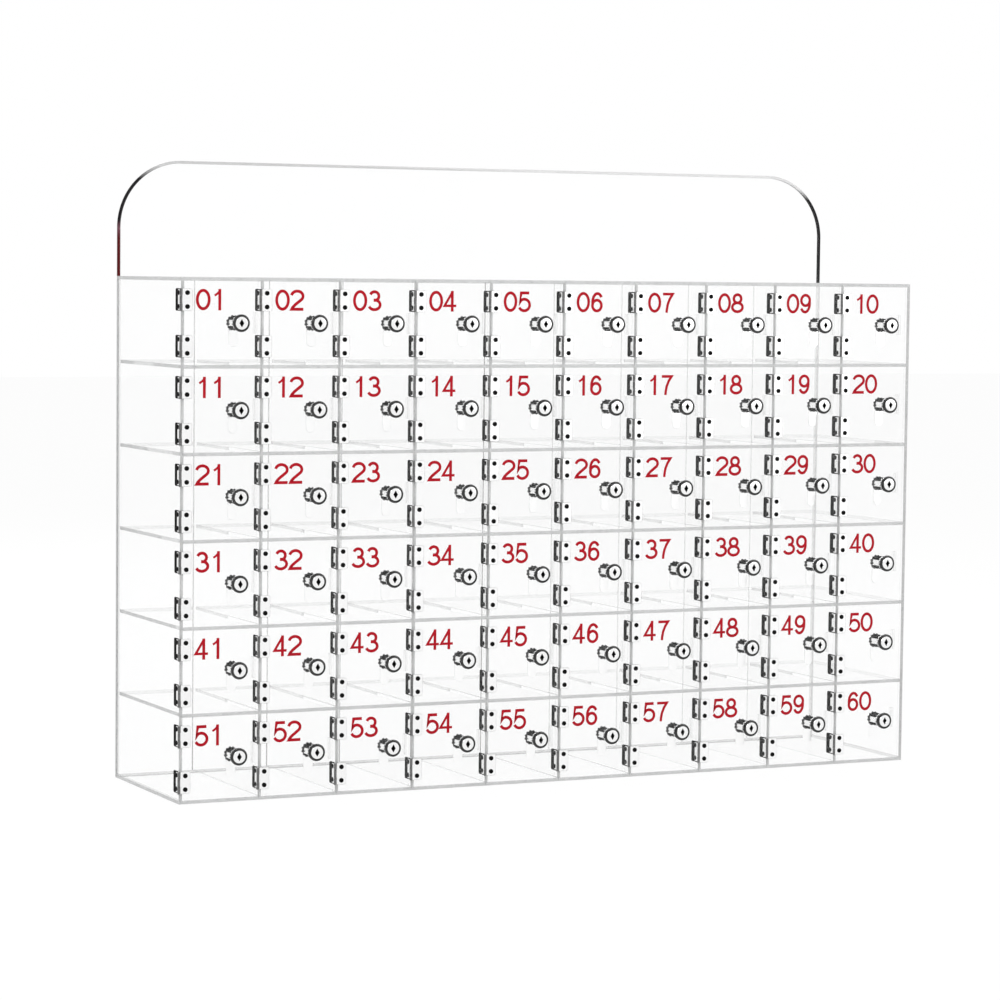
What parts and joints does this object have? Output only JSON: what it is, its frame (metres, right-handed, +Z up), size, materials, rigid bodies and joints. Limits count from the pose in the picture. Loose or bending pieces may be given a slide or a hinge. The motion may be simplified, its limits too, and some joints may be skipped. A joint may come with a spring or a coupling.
{
  "type": "cell phone locker box",
  "caption": "Clear acrylic cabinet of numbered phone lockers with hinged, cam-locked doors and a round-cornered header board on its back panel.",
  "frame": {"origin": "middle of the cabinet's base, on the underside of the bottom panel", "axes": "+Z up, +X to the right as seen from the front, +Y to the back, so the doors are at the -Y side"},
  "size_m": [0.9573, 0.2266, 0.728],
  "materials": {
    "clear_acrylic": "clear polished cast acrylic sheet with laser-cut edges",
    "hinge_metal": "nickel-plated steel, satin",
    "lock_metal": "bright chrome-plated zinc and steel",
    "black_screws": "blackened steel, semi-gloss",
    "number_vinyl": "cut red vinyl"
  },
  "bodies": {
    "cabinet": {"back_panel": "clear_acrylic", "top_panel": "clear_acrylic", "bottom_panel": "clear_acrylic", "left_side_panel": "clear_acrylic", "right_side_panel": "clear_acrylic", "shelves": "clear_acrylic", "dividers": "clear_acrylic", "fixed_hinge_leaves": "hinge_metal", "fixed_leaf_screws": "black_screws"},
    "door_01": {"door_01_panel": "clear_acrylic", "door_01_hinge_leaves": "hinge_metal", "door_01_lock_body": "lock_metal"},
    "door_01_plug": {"door_01_lock_plug": "lock_metal"},
    "door_11": {"door_11_panel": "clear_acrylic", "door_11_hinge_leaves": "hinge_metal", "door_11_lock_body": "lock_metal"},
    "door_11_plug": {"door_11_lock_plug": "lock_metal"},
    "door_21": {"door_21_panel": "clear_acrylic", "door_21_hinge_leaves": "hinge_metal", "door_21_lock_body": "lock_metal"},
    "door_21_plug": {"door_21_lock_plug": "lock_metal"},
    "door_31": {"door_31_panel": "clear_acrylic", "door_31_hinge_leaves": "hinge_metal", "door_31_lock_body": "lock_metal"},
    "door_31_plug": {"door_31_lock_plug": "lock_metal"},
    "door_41": {"door_41_panel": "clear_acrylic", "door_41_hinge_leaves": "hinge_metal", "door_41_lock_body": "lock_metal"},
    "door_41_plug": {"door_41_lock_plug": "lock_metal"},
    "door_51": {"door_51_panel": "clear_acrylic", "door_51_hinge_leaves": "hinge_metal", "door_51_lock_body": "lock_metal"},
    "door_51_plug": {"door_51_lock_plug": "lock_metal"},
    "column_02_doors": {"column_02_door_panels": "clear_acrylic", "column_02_hinge_leaves": "hinge_metal", "column_02_cam_locks": "lock_metal"},
    "column_03_doors": {"column_03_door_panels": "clear_acrylic", "column_03_hinge_leaves": "hinge_metal", "column_03_cam_locks": "lock_metal"},
    "column_04_doors": {"column_04_door_panels": "clear_acrylic", "column_04_hinge_leaves": "hinge_metal", "column_04_cam_locks": "lock_metal"},
    "column_05_doors": {"column_05_door_panels": "clear_acrylic", "column_05_hinge_leaves": "hinge_metal", "column_05_cam_locks": "lock_metal"},
    "column_06_doors": {"column_06_door_panels": "clear_acrylic", "column_06_hinge_leaves": "hinge_metal", "column_06_cam_locks": "lock_metal"},
    "column_07_doors": {"column_07_door_panels": "clear_acrylic", "column_07_hinge_leaves": "hinge_metal", "column_07_cam_locks": "lock_metal"},
    "column_08_doors": {"column_08_door_panels": "clear_acrylic", "column_08_hinge_leaves": "hinge_metal", "column_08_cam_locks": "lock_metal"},
    "column_09_doors": {"column_09_door_panels": "clear_acrylic", "column_09_hinge_leaves": "hinge_metal", "column_09_cam_locks": "lock_metal"},
    "column_10_doors": {"column_10_door_panels": "clear_acrylic", "column_10_hinge_leaves": "hinge_metal", "column_10_cam_locks": "lock_metal"}
  },
  "joints": [
    {"name": "door_01_swing", "type": "hinge", "parent": "cabinet", "child": "door_01", "pos_m": [-0.4787, -0.115, 0.541], "axis": [0, 0, -1], "range_deg": [0, 170]},
    {"name": "door_01_lock_turn", "type": "hinge", "parent": "door_01", "child": "door_01_plug", "pos_m": [-0.4065, -0.1133, 0.541], "axis": [0, -1, 0], "range_deg": [0, 90]},
    {"name": "door_11_swing", "type": "hinge", "parent": "cabinet", "child": "door_11", "pos_m": [-0.4787, -0.115, 0.443], "axis": [0, 0, -1], "range_deg": [0, 170]},
    {"name": "door_11_lock_turn", "type": "hinge", "parent": "door_11", "child": "door_11_plug", "pos_m": [-0.4065, -0.1133, 0.443], "axis": [0, -1, 0], "range_deg": [0, 90]},
    {"name": "door_21_swing", "type": "hinge", "parent": "cabinet", "child": "door_21", "pos_m": [-0.4787, -0.115, 0.345], "axis": [0, 0, -1], "range_deg": [0, 170]},
    {"name": "door_21_lock_turn", "type": "hinge", "parent": "door_21", "child": "door_21_plug", "pos_m": [-0.4065, -0.1133, 0.345], "axis": [0, -1, 0], "range_deg": [0, 90]},
    {"name": "door_31_swing", "type": "hinge", "parent": "cabinet", "child": "door_31", "pos_m": [-0.4787, -0.115, 0.247], "axis": [0, 0, -1], "range_deg": [0, 170]},
    {"name": "door_31_lock_turn", "type": "hinge", "parent": "door_31", "child": "door_31_plug", "pos_m": [-0.4065, -0.1133, 0.247], "axis": [0, -1, 0], "range_deg": [0, 90]},
    {"name": "door_41_swing", "type": "hinge", "parent": "cabinet", "child": "door_41", "pos_m": [-0.4787, -0.115, 0.149], "axis": [0, 0, -1], "range_deg": [0, 170]},
    {"name": "door_41_lock_turn", "type": "hinge", "parent": "door_41", "child": "door_41_plug", "pos_m": [-0.4065, -0.1133, 0.149], "axis": [0, -1, 0], "range_deg": [0, 90]},
    {"name": "door_51_swing", "type": "hinge", "parent": "cabinet", "child": "door_51", "pos_m": [-0.4787, -0.115, 0.051], "axis": [0, 0, -1], "range_deg": [0, 170]},
    {"name": "door_51_lock_turn", "type": "hinge", "parent": "door_51", "child": "door_51_plug", "pos_m": [-0.4065, -0.1133, 0.051], "axis": [0, -1, 0], "range_deg": [0, 90]},
    {"name": "column_02_doors_swing", "type": "hinge", "parent": "cabinet", "child": "column_02_doors", "pos_m": [-0.3837, -0.115, 0.296], "axis": [0, 0, -1], "range_deg": [0, 170]},
    {"name": "column_03_doors_swing", "type": "hinge", "parent": "cabinet", "child": "column_03_doors", "pos_m": [-0.2887, -0.115, 0.296], "axis": [0, 0, -1], "range_deg": [0, 170]},
    {"name": "column_04_doors_swing", "type": "hinge", "parent": "cabinet", "child": "column_04_doors", "pos_m": [-0.1937, -0.115, 0.296], "axis": [0, 0, -1], "range_deg": [0, 170]},
    {"name": "column_05_doors_swing", "type": "hinge", "parent": "cabinet", "child": "column_05_doors", "pos_m": [-0.0987, -0.115, 0.296], "axis": [0, 0, -1], "range_deg": [0, 170]},
    {"name": "column_06_doors_swing", "type": "hinge", "parent": "cabinet", "child": "column_06_doors", "pos_m": [-0.0037, -0.115, 0.296], "axis": [0, 0, -1], "range_deg": [0, 170]},
    {"name": "column_07_doors_swing", "type": "hinge", "parent": "cabinet", "child": "column_07_doors", "pos_m": [0.0913, -0.115, 0.296], "axis": [0, 0, -1], "range_deg": [0, 170]},
    {"name": "column_08_doors_swing", "type": "hinge", "parent": "cabinet", "child": "column_08_doors", "pos_m": [0.1863, -0.115, 0.296], "axis": [0, 0, -1], "range_deg": [0, 170]},
    {"name": "column_09_doors_swing", "type": "hinge", "parent": "cabinet", "child": "column_09_doors", "pos_m": [0.2813, -0.115, 0.296], "axis": [0, 0, -1], "range_deg": [0, 170]},
    {"name": "column_10_doors_swing", "type": "hinge", "parent": "cabinet", "child": "column_10_doors", "pos_m": [0.3763, -0.115, 0.296], "axis": [0, 0, -1], "range_deg": [0, 170]}
  ]
}
